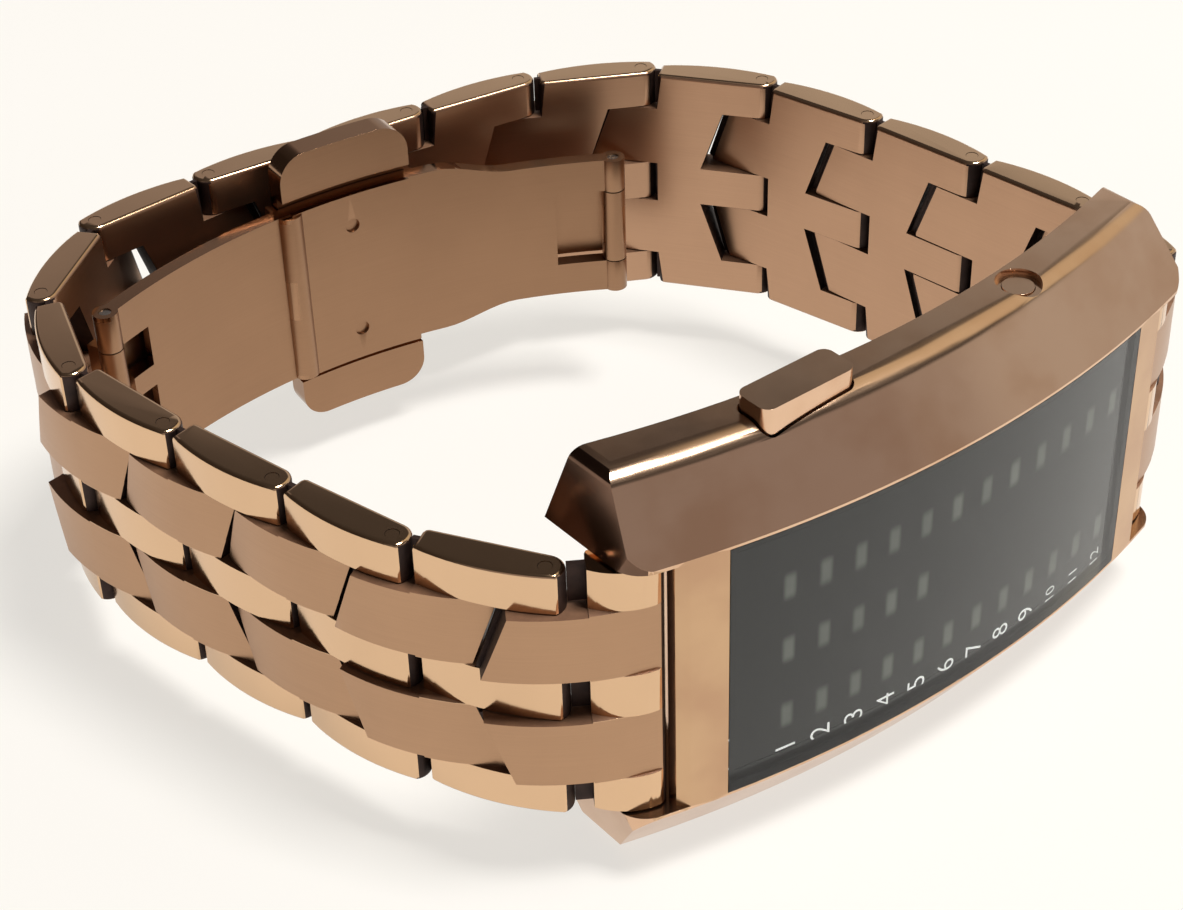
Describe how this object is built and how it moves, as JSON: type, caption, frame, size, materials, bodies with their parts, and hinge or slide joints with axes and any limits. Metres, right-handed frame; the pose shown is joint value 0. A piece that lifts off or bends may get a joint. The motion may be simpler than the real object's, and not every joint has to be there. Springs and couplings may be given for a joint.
{
  "type": "digital wristwatch",
  "caption": "Rectangular rose-gold digital wristwatch with a curved lamp-matrix display, on a five-row link bracelet with a folding butterfly clasp.",
  "frame": {"origin": "middle of the watch's box, on the surface that it stands on", "axes": "+X across the case's length, +Y from the crystal towards the clasp, +Z along the wrist, up from the rail it stands on to the main pusher's rail"},
  "size_m": [0.0732, 0.066, 0.0328],
  "materials": {
    "gold": "polished rose-gold plated steel",
    "brushed_gold": "brushed rose-gold plated steel",
    "crystal": "smoked mineral glass",
    "mask": "matt dark sheet",
    "lamp": "clear moulded lamp bodies",
    "board": "glass-fibre board",
    "chip": "moulded chip bodies",
    "frame": "moulded black frame",
    "steel": "stainless steel",
    "contact": "sprung contact sheet",
    "gasket": "black rubber"
  },
  "bodies": {
    "case": {"case_body": "gold", "crystal": "crystal", "display_mask": "mask", "led_lamps": "lamp", "circuit_board": "board", "board_chips": "chip", "movement_frame": "frame", "battery": "steel", "battery_clip": "contact", "case_back": "steel", "back_gasket": "gasket", "back_screws": "steel", "pusher_springs": "steel", "spring_bar_right": "steel"},
    "main_pusher": {"main_pusher": "gold"},
    "set_pusher": {"set_pusher": "gold"},
    "end_right": {"end_link_right": "gold"},
    "right_1": {"link_right_1": "gold", "pin_right_1": "steel"},
    "right_2": {"link_right_2": "gold", "pin_right_2": "steel"},
    "right_3": {"link_right_3": "gold", "pin_right_3": "steel"},
    "right_4": {"link_right_4": "gold", "pin_right_4": "steel"},
    "right_5": {"link_right_5": "gold", "pin_right_5": "steel"},
    "right_6": {"link_right_6": "gold", "pin_right_6": "steel"},
    "right_7": {"link_right_7": "gold", "pin_right_7": "steel"},
    "right_8": {"link_right_8": "gold", "pin_right_8": "steel"},
    "arm_right": {"arm_right": "brushed_gold", "arm_pins_right": "steel"},
    "clasp": {"clasp_base": "brushed_gold", "clasp_cover": "brushed_gold", "button_springs": "steel"},
    "button_upper": {"button_upper": "gold"},
    "button_lower": {"button_lower": "gold"},
    "arm_left": {"arm_left": "brushed_gold", "arm_pins_left": "steel"},
    "left_8": {"link_left_8": "gold", "pin_left_8": "steel"},
    "left_7": {"link_left_7": "gold", "pin_left_7": "steel"},
    "left_6": {"link_left_6": "gold", "pin_left_6": "steel"},
    "left_5": {"link_left_5": "gold", "pin_left_5": "steel"},
    "left_4": {"link_left_4": "gold", "pin_left_4": "steel"},
    "left_3": {"link_left_3": "gold", "pin_left_3": "steel"},
    "left_2": {"link_left_2": "gold", "pin_left_2": "steel"},
    "left_1": {"link_left_1": "gold", "pin_left_1": "steel"},
    "end_left": {"end_link_left": "gold", "spring_bar_left": "steel"}
  },
  "joints": [
    {"name": "end_right_hinge", "type": "hinge", "parent": "case", "child": "end_right", "pos_m": [0.02749, -0.02795, 0.0158], "axis": [0, 0, 1], "range_deg": [-43, 0]},
    {"name": "right_1_hinge", "type": "hinge", "parent": "end_right", "child": "right_1", "pos_m": [0.03253, -0.02468, 0.0158], "axis": [0, 0, 1], "range_deg": [-61.8, 0]},
    {"name": "right_2_hinge", "type": "hinge", "parent": "right_1", "child": "right_2", "pos_m": [0.03326, -0.01666, 0.0158], "axis": [0, 0, 1], "range_deg": [-22.4, 0]},
    {"name": "right_3_hinge", "type": "hinge", "parent": "right_2", "child": "right_3", "pos_m": [0.03199, -0.00659, 0.0158], "axis": [0, 0, 1], "range_deg": [-10.6, 0]},
    {"name": "right_4_hinge", "type": "hinge", "parent": "right_3", "child": "right_4", "pos_m": [0.03062, 0.00346, 0.0158], "axis": [0, 0, 1], "range_deg": [-15.2, 0]},
    {"name": "right_5_hinge", "type": "hinge", "parent": "right_4", "child": "right_5", "pos_m": [0.02834, 0.01335, 0.0158], "axis": [0, 0, 1], "range_deg": [-33.2, 0]},
    {"name": "right_6_hinge", "type": "hinge", "parent": "right_5", "child": "right_6", "pos_m": [0.02235, 0.02155, 0.0158], "axis": [0, 0, 1], "range_deg": [-34.1, 0]},
    {"name": "right_7_hinge", "type": "hinge", "parent": "right_6", "child": "right_7", "pos_m": [0.01353, 0.02658, 0.0158], "axis": [0, 0, 1], "range_deg": [-30.7, 0]},
    {"name": "right_8_hinge", "type": "hinge", "parent": "right_7", "child": "right_8", "pos_m": [0.00351, 0.02817, 0.0158], "axis": [0, 0, 1], "range_deg": [-12.5, 0]},
    {"name": "clasp_tip_right", "type": "hinge", "parent": "right_8", "child": "arm_right", "pos_m": [-0.00398, 0.02867, 0.0158], "axis": [0, 0, 1], "range_deg": [-95, 0]},
    {"name": "clasp_end_right", "type": "hinge", "parent": "arm_right", "child": "clasp", "pos_m": [0.01548, 0.01689, 0.0158], "axis": [0, 0, 1], "range_deg": [0, 95]},
    {"name": "clasp_end_left", "type": "hinge", "parent": "clasp", "child": "arm_left", "pos_m": [-0.02799, 0.02184, 0.0158], "axis": [0, 0, 1], "range_deg": [0, 95]},
    {"name": "clasp_tip_left", "type": "hinge", "parent": "arm_left", "child": "left_8", "pos_m": [-0.00637, 0.02895, 0.0158], "axis": [0, 0, 1], "range_deg": [-95, 0]},
    {"name": "left_7_hinge", "type": "hinge", "parent": "left_8", "child": "left_7", "pos_m": [-0.01378, 0.03014, 0.0158], "axis": [0, 0, 1], "range_deg": [-18.6, 0]},
    {"name": "left_6_hinge", "type": "hinge", "parent": "left_7", "child": "left_6", "pos_m": [-0.02392, 0.02977, 0.0158], "axis": [0, 0, 1], "range_deg": [-46.3, 0]},
    {"name": "left_5_hinge", "type": "hinge", "parent": "left_6", "child": "left_5", "pos_m": [-0.03188, 0.02346, 0.0158], "axis": [0, 0, 1], "range_deg": [-43.8, 0]},
    {"name": "left_4_hinge", "type": "hinge", "parent": "left_5", "child": "left_4", "pos_m": [-0.03497, 0.01379, 0.0158], "axis": [0, 0, 1], "range_deg": [-36.2, 0]},
    {"name": "left_3_hinge", "type": "hinge", "parent": "left_4", "child": "left_3", "pos_m": [-0.03348, 0.00375, 0.0158], "axis": [0, 0, 1], "range_deg": [-14, 0]},
    {"name": "left_2_hinge", "type": "hinge", "parent": "left_3", "child": "left_2", "pos_m": [-0.03129, -0.00616, 0.0158], "axis": [0, 0, 1], "range_deg": [-11.8, 0]},
    {"name": "left_1_hinge", "type": "hinge", "parent": "left_2", "child": "left_1", "pos_m": [-0.02879, -0.016, 0.0158], "axis": [0, 0, 1], "range_deg": [-26.9, 0]},
    {"name": "end_left_hinge", "type": "hinge", "parent": "left_1", "child": "end_left", "pos_m": [-0.02354, -0.02468, 0.0158], "axis": [0, 0, 1], "range_deg": [-35.8, 0]},
    {"name": "main_pusher_press", "type": "slide", "parent": "case", "child": "main_pusher", "axis": [0, 0, -1], "range_m": [0, 0.0008], "stiffness_N_per_m": 800, "springref_m": -0.001, "deforming": ["pusher_springs"]},
    {"name": "set_pusher_press", "type": "slide", "parent": "case", "child": "set_pusher", "axis": [0, 0, -1], "range_m": [0, 0.0005], "stiffness_N_per_m": 600, "springref_m": -0.001},
    {"name": "button_upper_press", "type": "slide", "parent": "clasp", "child": "button_upper", "axis": [0, 0, -1], "range_m": [0, 0.0008], "stiffness_N_per_m": 800, "springref_m": -0.001, "deforming": ["button_springs"]},
    {"name": "button_lower_press", "type": "slide", "parent": "clasp", "child": "button_lower", "axis": [0, 0, 1], "range_m": [0, 0.0008], "stiffness_N_per_m": 800, "springref_m": -0.001}
  ],
  "couplings": [
    {"joint": "clasp_end_right", "follows": "clasp_tip_right", "ratio": -1},
    {"joint": "clasp_end_left", "follows": "clasp_tip_right", "ratio": -1},
    {"joint": "clasp_tip_left", "follows": "clasp_tip_right", "ratio": 1}
  ]
}
